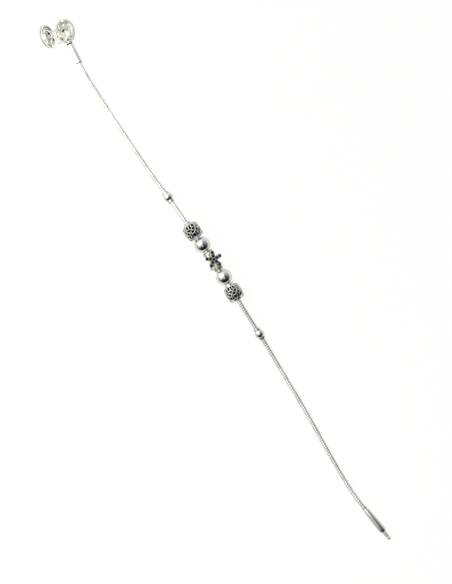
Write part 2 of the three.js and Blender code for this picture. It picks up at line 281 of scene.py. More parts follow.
def silver(name, bright, warm, warmth, smooth, rough, scratches):
    """Silver whose tarnish covers the share warmth, with roughness between smooth and rough."""
    shader, tree, place, material = blank_material(name, Metallic=1.0)
    bloom = noise(tree, place, scale=420.0, detail=4.0)
    wear = noise(tree, place, scale=1900.0, detail=6.0)
    stretch = node(tree, "ShaderNodeMapping", {"Vector": place, "Scale": (900.0, 9000.0, 9000.0)})
    hairs = noise(tree, stretch.outputs["Vector"], detail=3.0)
    bump = node(tree, "ShaderNodeBump", {"Height": hairs, "Strength": scratches, "Distance": SCRATCH_DEPTH})
    colour = ramp(tree, bloom, [(0.35, warm), (0.35 + warmth, bright)])
    tree.links.new(colour, shader.inputs["Base Color"])
    tree.links.new(scaled(tree, wear, 0.3, 0.75, smooth, rough), shader.inputs["Roughness"])
    tree.links.new(bump.outputs["Normal"], shader.inputs["Normal"])
    return material


polished_silver = silver("polished_silver", SILVER_BRIGHT, SILVER_WARM, 0.1, 0.03, 0.09, 0.12)
brushed_silver = silver("brushed_silver", (0.98, 0.972, 0.945), (0.82, 0.78, 0.68), 0.14, 0.32, 0.44, 0.2)
clasp_silver = silver("clasp_silver", (0.98, 0.975, 0.95), (0.94, 0.915, 0.81), 0.16, 0.24, 0.34, 0.06)
worn_silver = silver("worn_silver", (0.98, 0.975, 0.96), (0.9, 0.87, 0.8), 0.2, 0.6, 0.7, 0.1)
creamy_silver = silver("creamy_silver", (0.94, 0.925, 0.86), (0.78, 0.74, 0.6), 0.2, 0.08, 0.18, 0.1)
# Brown silver, a painted reflection: it colours two rings of the star's tube.
brown_reflection_silver = silver("brown_reflection_silver", (0.6, 0.56, 0.43), (0.42, 0.38, 0.26), 0.3, 0.12, 0.24, 0.1)
# Dark grey silver, a painted reflection: it draws the band under each clasp rim.
engraved_silver = silver("engraved_silver", (0.5, 0.49, 0.465), (0.36, 0.345, 0.31), 0.3, 0.12, 0.24, 0.1)
print("silver finishes:", [m.name for m in bpy.data.materials if "silver" in m.name])

# %% [markdown]
# ## Oxidised silver
#
# The flower beads are dipped in liver of sulphur, which blackens them, and then buffed. Buffing
# only reaches the high places, so the black stays wherever the wheel can't touch. The height above
# the bead's core is exactly what decides it, so the material works that height out from the bead's
# own drum shape and turns it into the boundary between black and bright, with a little noise to
# make the boundary hand-worn.

# %% Oxidised silver that is bright where it stands proud
OXIDE_AND_SHADE_BLACK = (0.012, 0.011, 0.010)
OXIDE_AND_SHADE_GREY = (0.5, 0.48, 0.45)


def drum_radius(tree, place, flatten):
    """How big a drum about the X axis reaches this point: the fourth powers make its sides flat."""
    square = node(tree, "ShaderNodeVectorMath", {0: place, 1: place}, operation="MULTIPLY")
    parts = node(tree, "ShaderNodeSeparateXYZ", {"Vector": square.outputs[0]}).outputs
    across = calculated(tree, "ADD", parts["Y"], parts["Z"])
    along = calculated(tree, "MULTIPLY", parts["X"], flatten**2)
    corner = node(tree, "ShaderNodeCombineXYZ", {"X": across, "Y": along}).outputs["Vector"]
    length = node(tree, "ShaderNodeVectorMath", {0: corner}, operation="LENGTH").outputs["Value"]
    return calculated(tree, "SQRT", length)


# Besides real oxide, this also paints shade: brown low on the flower collars, black on the clasp and sleeve.
def oxide_and_shade(name, dark_radius, bright_radius, flatten, rough, bright=SILVER_BRIGHT, dark=OXIDE_AND_SHADE_BLACK):
    """Silver that is black inside one drum about its own X axis and bright outside another, in mm."""
    shader, tree, place, material = blank_material(name, Metallic=1.0)
    grain = noise(tree, place, scale=2600.0, detail=5.0)
    nudge = calculated(tree, "MULTIPLY_ADD", grain, 0.1 * MM, drum_radius(tree, place, flatten))
    wear_and_shade = scaled(tree, nudge, dark_radius * MM, bright_radius * MM)
    edge = tuple(0.85 * d + 0.15 * b for d, b in zip(dark, bright))
    colour = ramp(tree, wear_and_shade, [(0.0, dark), (0.35, edge), (0.7, OXIDE_AND_SHADE_GREY), (1.0, bright)])
    tree.links.new(colour, shader.inputs["Base Color"])
    tree.links.new(ramp(tree, wear_and_shade, [(0.0, 0.5), (1.0, rough)]), shader.inputs["Roughness"])
    return material


# %% [markdown]
# ## Black stones
#
# The star is set with small round stones, black glass or spinel. A cut stone looks black because
# light goes in and doesn't come back, while its flat facets mirror the room, so the colour is very
# dark and the surface very smooth. A trace of noise keeps one stone from matching the next.

# %% The stone material
shader, tree, place, black_stone = blank_material("black_stone", Roughness=0.04, IOR=1.7)
cloud = noise(tree, place, scale=700.0)
colour = ramp(tree, cloud, [(0.3, (0.002, 0.002, 0.003)), (0.7, (0.012, 0.011, 0.014))])
tree.links.new(colour, shader.inputs["Base Color"])
print("stone finish:", black_stone.name)

# %% [markdown]
# ## The chain's route
#
# The chain lies almost straight, but not quite: it lifts off the table where a bead or the clasp
# carries it. A Catmull-Rom curve passes through every point it is given, so a handful of points
# with their heights is enough. The centripetal kind never overshoots between uneven points.

# %% The curve that the chain and its beads follow
ROUTE = [
    (-87.38, 0.93, 3.56), (-85.4, 0.75, 3.54), (-82.4, 0.52, 3.3), (-78.4, 0.4, 2.46),
    (-73.7, 0.38, 1.42), (-69.0, 0.37, 0.86), (-63.1, 0.38, 0.75), (-52.6, 0.61, 0.75), (-44.7, 0.8, 0.78),
    (-38.4, 1.1, 1.08), (-32.4, 1.5, 1.6), (-27.4, 1.74, 2.5), (-23.4, 1.95, 2.98),
    (-19.0, 2.2, 3.05), (-13.1, 2.47, 3.05), (-6.8, 2.68, 3.05), (-0.4, 2.76, 3.05),
    (5.4, 2.74, 3.05), (9.6, 2.67, 3.0), (14.4, 2.61, 2.45), (21.6, 2.56, 1.6),
    (27.4, 2.44, 1.06), (33.4, 2.24, 0.78), (40.4, 2.0, 0.75), (50.4, 1.68, 0.75),
    (60.8, 1.08, 0.75), (68.7, 0.6, 0.75), (76.6, 0.28, 0.75), (81.9, 0.24, 0.86),
    (85.4, 0.45, 1.12), (88.25, 0.757, 1.2),
]


def route_points(samples_per_span):
    """Points along the centripetal Catmull-Rom curve through ROUTE, in millimetres."""
    knots = [Vector(p) for p in ROUTE]
    knots = [2 * knots[0] - knots[1], *knots, 2 * knots[-1] - knots[-2]]
    points = []
    for p0, p1, p2, p3 in zip(knots, knots[1:], knots[2:], knots[3:]):
        d0, d1, d2 = (math.sqrt((b - a).length) for a, b in ((p0, p1), (p1, p2), (p2, p3)))
        out = ((p1 - p0) / d0 - (p2 - p0) / (d0 + d1) + (p2 - p1) / d1) * d1
        into = ((p2 - p1) / d1 - (p3 - p1) / (d1 + d2) + (p3 - p2) / d2) * d1
        for k in range(samples_per_span):
            t = k / samples_per_span
            bend = -3 * p1 + 3 * p2 - 2 * out - into
            swing = 2 * p1 - 2 * p2 + out + into
            points.append(p1 + out * t + bend * t**2 + swing * t**3)
    return [*points, knots[-2]]


route = route_points(60)
route_lengths = [0.0]
for one, two in zip(route, route[1:]):
    route_lengths.append(route_lengths[-1] + (two - one).length)
chain_length = route_lengths[-1]
print(f"chain: {chain_length:.1f} mm long")


def route_frame(length):
    """The point at a length along the route, and the chain's direction, side and up there."""
    i = min(max(bisect.bisect(route_lengths, length), 1), len(route) - 1)
    span = route_lengths[i] - route_lengths[i - 1]
    point = route[i - 1].lerp(route[i], (length - route_lengths[i - 1]) / span)
    direction = (route[min(i + 1, len(route) - 1)] - route[max(i - 2, 0)]).normalized()
    side = UP.cross(direction).normalized()
    return point, direction, side, direction.cross(side)


def threaded_at(x, roll_degrees=0.0):
    """The place of a bead threaded where the route passes x: its own X points along the chain."""
    i = bisect.bisect([p.x for p in route], x)
    share = (x - route[i - 1].x) / (route[i].x - route[i - 1].x)
    length = route_lengths[i - 1] + share * (route_lengths[i] - route_lengths[i - 1])
    point, direction, side, up = route_frame(length)
    turn = Matrix((direction, side, up)).transposed().to_4x4()
    return Matrix.Translation(point * MM) @ turn @ Matrix.Rotation(math.radians(roll_degrees), 4, "X")


# %% [markdown]
# ## The snake chain
#
# A snake chain is made of hundreds of tiny wavy cups, each pushed into the next and turned a
# little, so the chain looks like a smooth rope with a fine zigzag. Modelling each cup as a separate
# body would hide most of it inside its neighbour. Instead one skin is swept along the route: every
# cup is six rings of points, each ring follows the cup's wavy edge, and the radius grows along the
# cup and drops back where the next one begins.

# %% Sweep the chain
CHAIN_RADIUS = 0.75
CUP_PITCH = 0.76
CUP_SIDES = 32
CUP_WAVES = 4
WAVE_HEIGHT = 0.11
PEAK = 0.94
# How far along a cup each of its rings is, and its radius there as a share of the chain's.
CUP_RINGS = [(0.0, 0.92), (0.1, 0.955), (0.32, 0.985), (0.56, 1.0), (0.78, 0.99), (0.93, 0.96)]


def wave(angle):
    """A zigzag from -1 to 1 that repeats CUP_WAVES times round the chain, with rounded peaks."""
    return math.asin(PEAK * math.sin(CUP_WAVES * angle)) / math.asin(PEAK)


def sweep_chain():
    """The points and faces of the chain's skin."""
    cups = round(chain_length / CUP_PITCH)
    pitch = chain_length / cups
    points = []
    for cup in range(cups):
        for share, swell in CUP_RINGS:
            for k in range(CUP_SIDES):
                angle = 2 * math.pi * k / CUP_SIDES
                length = (cup + share) * pitch + WAVE_HEIGHT * wave(angle)
                length = min(max(length, 0.0), chain_length)
                centre, _, side, up = route_frame(length)
                radius = CHAIN_RADIUS * swell
                points.append(centre + side * (radius * math.cos(angle)) + up * (radius * math.sin(angle)))
    first_end = tuple(range(CUP_SIDES))
    last_end = tuple(range(len(points) - CUP_SIDES, len(points)))
    print(f"snake chain: {cups} cups")
    return points, [*skin(len(points) // CUP_SIDES, CUP_SIDES), first_end, last_end]


chain_points, chain_faces = sweep_chain()
snake_chain = new_piece("snake_chain_skin", chain_points, chain_faces, brushed_silver)
settle(snake_chain, Matrix.Identity(4), "snake_chain", slot="chain_silver")

# %% [markdown]
# ## Ball beads and stoppers
#
# A ball bead is a polished sphere with a hole for the chain, and a small lip round the hole. The two
# stoppers are smaller balls on short tubes. A real one grips the chain with a rubber lining, which
# can't be seen from outside and isn't made. Both are turned from closed profiles, so the bore is a
# real surface and not a painted dot.

# %% Turn the balls
BORE = 1.05
BALL_RADIUS = 2.7
BALL_LIP = 0.25
BALL_HALF = math.sqrt(BALL_RADIUS**2 - (BORE + BALL_LIP) ** 2)
BALL_SEGMENTS = 72
RING_SEGMENTS = 56
SMALL_SEGMENTS = 48
LIP_PROUD = 0.13
lip_angle = math.degrees(math.asin((BORE + BALL_LIP) / BALL_RADIUS))
ball_profile = [*arc(BALL_RADIUS, 180 - lip_angle, lip_angle, 40)]
ball_profile += [(BALL_HALF + LIP_PROUD, BORE + BALL_LIP), (BALL_HALF + LIP_PROUD, BORE)]
ball_profile += [(-BALL_HALF - LIP_PROUD, BORE), (-BALL_HALF - LIP_PROUD, BORE + BALL_LIP)]
ball_profile = soften(ball_profile, 0.11)

# %% Thread the beads of the middle group in order
FLOWER_LENGTH = 6.2
STAR_LENGTH = 7.4
THREADED_GAP = 0.3
GROUP_START = -22.03
GROUP = [
    ("flower_bead_upper", FLOWER_LENGTH),
    ("ball_bead_upper", 2 * BALL_HALF),
    ("star_bead", STAR_LENGTH),
    ("ball_bead_lower", 2 * BALL_HALF),
    ("flower_bead_lower", FLOWER_LENGTH),
]
stations = {"stopper_bead_upper": -32.4, "stopper_bead_lower": 21.6}
start = GROUP_START
for name, length in GROUP:
    stations[name] = start + length / 2
    start += length + THREADED_GAP
print("stations:", {name: round(x, 2) for name, x in stations.items()})


def thread_pair(kind, profile, segments):
    """The upper and the lower bead of one kind, turned and threaded at their stations."""
    for name in (kind + "_upper", kind + "_lower"):
        bead = turned(name + "_polished", profile, segments, polished_silver)
        settle(bead, threaded_at(stations[name]), name)


thread_pair("ball_bead", ball_profile, BALL_SEGMENTS)

# %% Turn the stoppers
STOPPER_RADIUS = 1.6
STOPPER_TUBE = 1.15
STOPPER_BORE = 0.95
STOPPER_HALF = 1.95
shoulder_angle = math.degrees(math.asin(STOPPER_TUBE / STOPPER_RADIUS))
stopper_profile = soften(
    [
        (-STOPPER_HALF, STOPPER_TUBE),
        *arc(STOPPER_RADIUS, 180 - shoulder_angle, shoulder_angle, 28),
        (STOPPER_HALF, STOPPER_TUBE), (STOPPER_HALF, STOPPER_BORE), (-STOPPER_HALF, STOPPER_BORE),
    ],
    0.08,
)
thread_pair("stopper_bead", stopper_profile, RING_SEGMENTS)

# %% [markdown]
# ## Flower beads
#
# Each flower bead is a dark drum covered in cast openwork: rows of little rings, each row turned
# half a ring from the next, some with a button in the middle. A ring is made once on a flat sheet,
# then wrapped on the drum by turning its sideways distance into an angle and its height into a
# distance from the surface. That keeps the rings curved with the bead, as the casting is. A few
# rings lean outward, which gives the bead the ragged outline that a smooth bump texture can't. A
# collar of two rolled rings closes each end, and the collar on the star's side is the wider one.

# %% One ring and one button on a flat sheet
FLOWER_RADIUS = 2.8
CORE_DEPTH = 0.6
LOOP_RADIUS = 0.53
WIRE_RADIUS = 0.14
BUTTON_RADIUS = 0.24
BUTTON_HEIGHT = 0.34
BUTTON_CHANCE = 0.1


def dome(rows, columns):
    """Points and faces of a unit ball, ready to be shaped."""
    points = [(0.0, 0.0, -1.0)]
    for row in range(1, rows):
        tilt = math.pi * row / rows
        for column in range(columns):
            turn = 2 * math.pi * column / columns
            points.append((math.sin(tilt) * math.cos(turn), math.sin(tilt) * math.sin(turn), -math.cos(tilt)))
    points.append((0.0, 0.0, 1.0))
    top = len(points) - 1
    faces = []
    for column in range(columns):
        after = (column + 1) % columns
        faces.append((0, 1 + after, 1 + column))
        last_row = 1 + (rows - 2) * columns
        faces.append((last_row + column, last_row + after, top))
        for row in range(rows - 2):
            low = 1 + row * columns
            faces.append((low + column, low + after, low + columns + after, low + columns + column))
    return points, faces


def wire_ring(around, across):
    """Points and faces of a round wire bent into a ring, as (angle round the ring, out, height)."""
    points = []
    faces = []
    for i in range(around):
        angle = 2 * math.pi * i / around
        for j in range(across):
            turn = 2 * math.pi * j / across
            points.append((angle, math.cos(turn), math.sin(turn)))
            here = i * across
            ahead = (i + 1) % around * across
            j_next = (j + 1) % across
            faces.append((here + j, ahead + j, ahead + j_next, here + j_next))
    return points, faces


DOME_POINTS, DOME_FACES = dome(7, 12)
RING_POINTS, RING_FACES = wire_ring(20, 10)


# %% The drum's shape, and how the flat sheet wraps round it
FLOWER_HALF = 2.02
COLLAR_RADIUS = 1.5
DRUM_HALF = FLOWER_HALF / (1 - (COLLAR_RADIUS / FLOWER_RADIUS) ** 4) ** 0.25
CORE_RADIUS = FLOWER_RADIUS - CORE_DEPTH
# The share of the drum's half length where its end wall starts.
END_WALL = 0.985


def drum(along):
    """The core's radius at a place along the bead: nearly flat in the middle, falling at the ends."""
    return CORE_RADIUS * (1 - min(abs(along) / DRUM_HALF, END_WALL) ** 4) ** 0.25


def wrap(along, across, height):
    """A point of the flat sheet, laid on the bead's dark core."""
    radius = drum(along)
    slope = math.atan2(drum(along - 0.01) - drum(along + 0.01), 0.02)
    angle = across / CORE_RADIUS
    out = radius + height * math.cos(slope)
    return (along + height * math.sin(slope), out * math.cos(angle), out * math.sin(angle))


# %% Lay the rings out
# Each row: how far along the bead, how many rings round it, and its shift as a share of a ring.
OPENWORK_ROWS = [(-1.32, 8, 0.5), (-0.44, 10, 0.0), (0.44, 10, 0.5), (1.32, 8, 0.0)]
RING_HEIGHT = 0.46
UNEVEN = 0.08
LEVEL_LEAN = 0.07
# A lifted ring leans by a share of its place along the bead. The rings that lie on the table don't.
LIFTED_CHANCE = 0.35
LIFTED_LEAN = 0.3
TABLE_SIDE = -0.6


def ring_points(chance, lean):
    """One uneven ring on the flat sheet, its far side lifted by lean."""
    stretch = chance.uniform(0.9, 1.14)
    turn = chance.uniform(0, math.pi)
    placed = []
    for angle, out, height in RING_POINTS:
        reach = LOOP_RADIUS + WIRE_RADIUS * out
        a = reach * math.cos(angle) * stretch
        b = reach * math.sin(angle) / stretch
        along = a * math.cos(turn) - b * math.sin(turn)
        around = a * math.sin(turn) + b * math.cos(turn)
        rise = RING_HEIGHT + lean * math.cos(angle + turn) + WIRE_RADIUS * height
        placed.append((along, around, rise))
    return placed


def openwork(seed):
    """The rings and buttons of one bead, with the small unevenness of a hand-cast pattern."""
    chance = random.Random(seed)
    shapes = []
    for along, count, shift in OPENWORK_ROWS:
        for i in range(count):
            around = 2 * math.pi * (i + shift) / count * CORE_RADIUS + chance.uniform(-UNEVEN, UNEVEN)
            at = along + chance.uniform(-UNEVEN, UNEVEN)
            rests = math.sin(around / CORE_RADIUS) < TABLE_SIDE
            lifted = along > 0 and chance.random() < LIFTED_CHANCE and not rests
            lean = LIFTED_LEAN * along if lifted else chance.uniform(-LEVEL_LEAN, LEVEL_LEAN)
            flat = [(ring_points(chance, lean), (1.0, 1.0, 1.0), RING_FACES)]
            if chance.random() < BUTTON_CHANCE:
                flat.append((DOME_POINTS, (BUTTON_RADIUS, BUTTON_RADIUS, BUTTON_HEIGHT), DOME_FACES))
            for points, size, faces in flat:
                shapes.append(([wrap(*p) for p in sized(points, size, (at, around, 0.0))], faces))
    return gathered(shapes)


# %% The finishes of a flower bead
PETAL_SILVER = (0.71, 0.695, 0.655)
COLLAR_CREAM = (0.97, 0.94, 0.88)
COLLAR_SHADE_BROWN = (0.12, 0.08, 0.05)
FLATTEN = FLOWER_RADIUS / DRUM_HALF
petal_silver = oxide_and_shade(
    "petal_silver", CORE_RADIUS + 0.36, CORE_RADIUS + 0.5, FLATTEN, rough=0.3, bright=PETAL_SILVER
)
# The core lies inside the dark drum, so it is black all over.
core_black = oxide_and_shade("core_black", 3.3, 3.6, FLATTEN, rough=0.4)
# Painted shade and reflection: the collars are brown where they sit low, cream where they stand high.
collar_silver = oxide_and_shade(
    "collar_silver", 1.3, 1.42, flatten=0.0, rough=0.3, bright=COLLAR_CREAM, dark=COLLAR_SHADE_BROWN
)
print("finishes:", petal_silver.name, core_black.name, collar_silver.name)

# %% Build both flower beads
CORE_SEGMENTS = 64
core_places = [FLOWER_HALF * math.sin(math.radians(angle)) for angle in range(-90, 91, 5)]
core_profile = [(along, drum(along)) for along in core_places]
core_profile += [(FLOWER_HALF, BORE), (-FLOWER_HALF, BORE)]
ROLL = 0.17


def collar_profile(side, radius, end):
    """Two rolled rings with a groove between them, closing a flower bead at one end; their brown is painted
    shade.
    """
    outline = [(FLOWER_HALF - 0.25, BORE), (FLOWER_HALF - 0.25, COLLAR_RADIUS - ROLL)]
    for centre, top in ((FLOWER_HALF + ROLL, radius), (end - ROLL, radius - 0.05)):
        for k in range(0, 181, 15):
            angle = math.radians(180 - k)
            outline.append((centre + ROLL * math.cos(angle), top - ROLL + ROLL * math.sin(angle)))
    outline.append((end, BORE))
    return [(side * along, height) for along, height in outline]


# The two beads face each other, each with its wide collar on the side of the star. Each bead: the
# seed of its openwork, its body's place along it, and its near and far collars' radius and finish.
FLOWER_BEADS = {
    "flower_bead_upper": (3, 0.15, (1.35, worn_silver), (1.75, collar_silver)),
    "flower_bead_lower": (4, 0.12, (1.75, collar_silver), (1.42, collar_silver)),
}
for name, (seed, centre, near_collar, far_collar) in FLOWER_BEADS.items():
    place = threaded_at(stations[name]) @ Matrix.Translation((centre * MM, 0.0, 0.0))
    core = turned(name + "_core", core_profile, CORE_SEGMENTS, core_black)
    settle(core, place, name, slot="oxidised_silver")
    petals = new_piece(name + "_petals", *openwork(seed), petal_silver)
    settle(petals, place, slot="oxidised_silver")
    for end, side, (radius, finish) in (("near", -1, near_collar), ("far", 1, far_collar)):
        outline = collar_profile(side, radius, FLOWER_LENGTH / 2 - side * centre)
        collar = turned(f"{name}_collar_{end}", outline, RING_SEGMENTS, finish)
        settle(collar, place, slot="oxidised_silver")

# %% [markdown]
# ## The star bead
#
# A silver tube, wider at the end by the first ball, carries a star on each side. The front star is
# set with eleven round stones: one in the middle and two on every arm. Turned rings close the
# tube's ends; the groove of one and the broad face of the other are brown, a painted reflection.
# The star is cut as a flat outline with round-ended arms, and a file has broken its edges.

# %% The star's tube
STAR_TUBE = 1.45
STAR_FLARE = 1.9
STAR_RIM = 1.6
STAR_HALF = STAR_LENGTH / 2
STAR_ROLL = -13.0
TUBE_START = -STAR_HALF + 0.5
TUBE_END = STAR_HALF - 1.25
FLARE_END = -STAR_HALF + 2.4
tube_profile = soften(
    [
        (TUBE_START, BORE), (TUBE_START, STAR_FLARE - 0.1), (TUBE_START + 0.4, STAR_FLARE),
        (FLARE_END - 0.6, STAR_FLARE), (FLARE_END, STAR_FLARE - 0.15), (FLARE_END + 0.3, STAR_TUBE),
        (TUBE_END, STAR_TUBE), (TUBE_END, BORE),
    ],
    0.14,
    steps=4,
)
star_place = threaded_at(stations["star_bead"], STAR_ROLL)
star_tube = turned("star_bead_tube", tube_profile, RING_SEGMENTS, creamy_silver)
settle(star_tube, star_place, "star_bead")

# %% The rings on its ends
# Each ring: where it starts and ends along the bead, its radius, and its finish.
# The brown finish on the near groove and the far rim is painted reflection.
RIMS = [
    ("star_rim_near", -STAR_HALF, -STAR_HALF + 0.22, STAR_FLARE - 0.05, creamy_silver),
    ("star_groove_near", -STAR_HALF + 0.22, TUBE_START, STAR_FLARE - 0.2, brown_reflection_silver),
    ("star_rim_far", TUBE_END, STAR_HALF - 0.2, STAR_RIM, brown_reflection_silver),
    ("star_lip_far", STAR_HALF - 0.2, STAR_HALF, STAR_RIM - 0.1, creamy_silver),
]
for name, low, high, radius, finish in RIMS:
    rim = turned(name, band(low, high, BORE, radius, 0.09, steps=4), RING_SEGMENTS, finish)
    settle(rim, star_place)

# %% The two star plates
ARMS = 5
ARM_STEPS = 12
STAR_FACE = 2.2
STAR_ROOT = 1.25
FRONT_TURN = 89.0
FRONT_SHIFT = -0.25
BROKEN_EDGE = 0.08
BROKEN_SHARE = 0.965


def arm_angles(first):
    """The direction of each arm, seen from the front."""
    return [math.radians(first + 360 * k / ARMS) for k in range(ARMS)]


def star_outline(first, reach, width):
    """The star's outline: a rounded end on every arm, and a corner where two arms meet."""
    half = width / 2
    root = half / math.sin(math.pi / ARMS)
    outline = []
    for turn in arm_angles(first):
        before = turn - math.pi / ARMS
        outline.append((root * math.cos(before), root * math.sin(before)))
        for k in range(ARM_STEPS + 1):
            sweep = turn - math.pi / 2 + math.pi * k / ARM_STEPS
            x = (reach - half) * math.cos(turn) + half * math.cos(sweep)
            y = (reach - half) * math.sin(turn) + half * math.sin(sweep)
            outline.append((x, y))
    return outline


def star_plate(name, outline, from_height, to_height, shift, material):
    """A star plate between two heights above the chain's axis, with its outer edge broken."""
    count = len(outline)
    outward = math.copysign(BROKEN_EDGE, to_height)
    layers = [(from_height, 1.0), (to_height - outward, 1.0), (to_height, BROKEN_SHARE)]
    points = [(x * grow + shift, y * grow, z) for z, grow in layers for x, y in outline]
    faces = [tuple(range(count)), tuple(range(2 * count, 3 * count)), *skin(3, count)]
    return new_piece(name, points, faces, material)


# Each star: the turn of its first arm, how far its arms reach and how wide they are, the side of the
# bead that it faces, its shift along the bead, and its finish.
STARS = {
    "star_front": (FRONT_TURN, 2.98, 1.3, 1, FRONT_SHIFT, polished_silver),
    "star_back": (66.0, 2.05, 1.5, -1, 1.6, worn_silver),
}
for name, (turn, reach, width, side, shift, finish) in STARS.items():
    outline = star_outline(turn, reach, width)
    plate = star_plate(name, outline, side * STAR_ROOT, side * STAR_FACE, shift, finish)
    settle(plate, star_place)

# %% [markdown]
# ## The stones and their grains
#
# Small round stones are held by grains: beads of metal pushed up from the plate beside each stone.
# A stone's crown is a flat table with two rows of facets down to its girdle. The facets stay
# flat-shaded, because the flashes of a cut stone come from flat mirrors at many angles.

# %% Cut and set the stones
STONE_RADIUS = 0.48
STONE_SIDES = 16
FACET_DEPTH = 0.97
# Each ring of a stone: its height over the plate, and its share of the stone's radius.
STONE_RINGS = [(-0.12, 0.8), (0.0, 1.0), (0.03, 1.0), (0.13, 0.82), (0.2, 0.56)]
INNER_STONES = 1.14
OUTER_STONES = 2.36
STONE_SEATS = [(FRONT_SHIFT, 0.0)]
for angle in arm_angles(FRONT_TURN):
    for reach in (INNER_STONES, OUTER_STONES):
        STONE_SEATS.append((FRONT_SHIFT + reach * math.cos(angle), reach * math.sin(angle)))


def stone(centre, twist):
    """The points and faces of one stone: girdle, crown and table, and a closed underside."""
    points = []
    for height, share in STONE_RINGS:
        for k in range(STONE_SIDES):
            angle = twist + 2 * math.pi * k / STONE_SIDES
            between_facets = k % 2 and share < 0.9
            radius = STONE_RADIUS * share * (FACET_DEPTH if between_facets else 1.0)
            x = centre[0] + radius * math.cos(angle)
            points.append((x, centre[1] + radius * math.sin(angle), STAR_FACE + height))
    faces = [tuple(range(STONE_SIDES)), tuple(range(len(points) - STONE_SIDES, len(points)))]
    for a, b, c, d in skin(len(STONE_RINGS), STONE_SIDES):
        faces += [(a, b, c), (a, c, d)]
    return points, faces


cutting = random.Random(11)
cut_stones = [stone(seat, cutting.uniform(0, math.pi / 4)) for seat in STONE_SEATS]
stones = new_piece("star_stones", *gathered(cut_stones), black_stone)
stones.data.shade_flat()
settle(stones, star_place, slot="black_stone")
print("stones set:", len(STONE_SEATS))

# %% Raise the grains between the stones
GRAIN_RADIUS = 0.13
GRAIN_HEIGHT = 0.04
# Each grain of an arm: how far out it is, and its turn from the arm's middle. The first fills the
# corner between two arms, and the others stand between the arm's two stones.
GRAINS = [(0.62, math.pi / ARMS), (1.72, 0.2), (1.72, -0.2)]
grain_seats = []
for arm in arm_angles(FRONT_TURN):
    for reach, spread in GRAINS:
        angle = arm + spread
        x = FRONT_SHIFT + reach * math.cos(angle)
        grain_seats.append((x, reach * math.sin(angle), STAR_FACE + GRAIN_HEIGHT))
ball_points, ball_faces = dome(6, 10)
grain_balls = [(sized(ball_points, (GRAIN_RADIUS,) * 3, seat), ball_faces) for seat in grain_seats]
grains = new_piece("star_grains", *gathered(grain_balls), polished_silver)
settle(grains, star_place)

# %% [markdown]
# ## The end tip
#
# The chain's free end is soldered into a slim torpedo with a small ball on its nose. The ball is
# what the clasp snaps round. The body is one turned profile: a thin collar at the chain, a slow
# swelling and a blunt end. A ferrule hides the chain's cut end, and the nose and its ball are duller,
# because the clasp rubs them.

# %% Turn the tip
TIP_START = Vector((88.55, 0.797, 1.2))
TIP_YAW = math.radians(6.7)
# Each pair: how far along the tip, and its radius there.
TIP_SHAPE = [
    (0.0, 0.0), (0.0, 0.84), (0.95, 0.84), (1.0, 0.95), (2.1, 1.04), (3.8, 1.1), (5.6, 1.165),
    (7.2, 1.2), (8.6, 1.19), (9.5, 1.12), (9.85, 1.0), (10.05, 0.7), (10.05, 0.0),
]
tip_profile = soften(TIP_SHAPE, 0.1)
tip = turned("end_tip_polished", tip_profile, RING_SEGMENTS, polished_silver)
tip_place = Matrix.Translation(TIP_START * MM) @ Matrix.Rotation(TIP_YAW, 4, "Z")
settle(tip, tip_place, "end_tip")

# %% The ferrule that hides the chain's cut end
ferrule_profile = band(-0.42, 0.03, 0.77, 0.87, 0.04)
ferrule = turned("end_tip_ferrule", ferrule_profile, SMALL_SEGMENTS, polished_silver)
settle(ferrule, tip_place)

# %% Turn the nose
NOSE_BALL = 0.68
NOSE_BALL_AT = 12.6
NOSE_NECK = [(9.95, 0.0), (9.95, 0.72), (10.5, 0.67), (11.9, 0.63), (12.15, 0.5)]
nose_profile = soften([*NOSE_NECK, *arc(NOSE_BALL, 130, 0, 12, centre=NOSE_BALL_AT)], 0.1)
nose = turned("end_tip_nose", nose_profile, SMALL_SEGMENTS, worn_silver)
settle(nose, tip_place)

# %% [markdown]
# ## The clasp
#
# The clasp is a ball split into two cups on a hinge. Closed, it hides the sleeve's ball and the
# tip's ball in a channel along its axis. Each half is spun as a thin shell with a rounded rim, then
# the inner seat and the hinge's knuckles are joined on, and the channel, the slot in the floor and
# the room for the other half's knuckles are cut away. Boolean modifiers do the joining and cutting
# the way a jeweller solders and saws, and they leave true edges where two shapes meet. A thin dark
# grey band under each rim is a painted reflection that draws its outline, and a black oval on each
# seat is painted shade where the catch's hole looks dark. A thin
# blackened line is engraved under each rim, and a blackened pocket in each seat takes the catch.

# %% Join and cut solids
def combined(body, others, operation):
    """Joins other solids to a body, or cuts them from it, and removes them."""
    for other in others:
        change = body.modifiers.new(operation.lower(), "BOOLEAN")
        change.operation = operation
        change.solver = "MANIFOLD"
        change.object = other
    bpy.context.view_layer.update()
    shaped = body.evaluated_get(bpy.context.evaluated_depsgraph_get())
    mesh = bpy.data.meshes.new_from_object(shaped)
    body.modifiers.clear()
    body.data = mesh
    for other in others:
        bpy.data.objects.remove(other)


def stood_up(piece):
    """Turns a piece that was spun about X so that its axis is Z, in its own mesh."""
    piece.data.transform(Matrix.Rotation(-math.pi / 2, 4, "Y"))
    return piece


# %% The clasp's dimensions
CUP_RADIUS = 4.05
CUP_DEPTH = 2.6
CUP_WALL = 0.55
SEAT_RADIUS = 2.3
SEAT_WALL = 0.4
SEAT_TOP = -0.25
SEAT_FLOOR = 0.65
RIM_GAP = 0.15
TIP_NOTCH = 0.75
SLEEVE_NOTCH = 0.85
SLEEVE_POCKET = 1.15
HINGE_REACH = 4.3
KNUCKLE_RADIUS = 0.4
KNUCKLE_LENGTH = 2.0
KNUCKLE_GAP = 0.15
LUG_DEPTH = 0.4
PIN_RADIUS = 0.17
PIN_BORE = 0.235
CUP_SEGMENTS = 96
CUP_STEPS = 20
CHANNEL_SEGMENTS = 40
# Where the channel widens from the tip's run to the sleeve's pocket.
CHANNEL_STEP = (0.8, 1.2)
SLOT_HALF = (0.85, 0.42, 1.5)
SLOT_CENTRE = (-0.7, 0.0, -CUP_DEPTH)
TONGUE_HALF = 0.8
TONGUE_BACK = 2.8
TONGUE_FRONT = 3.05
TONGUE_ROOT = 3.7
RIM_LINE = (-0.45, -0.15)


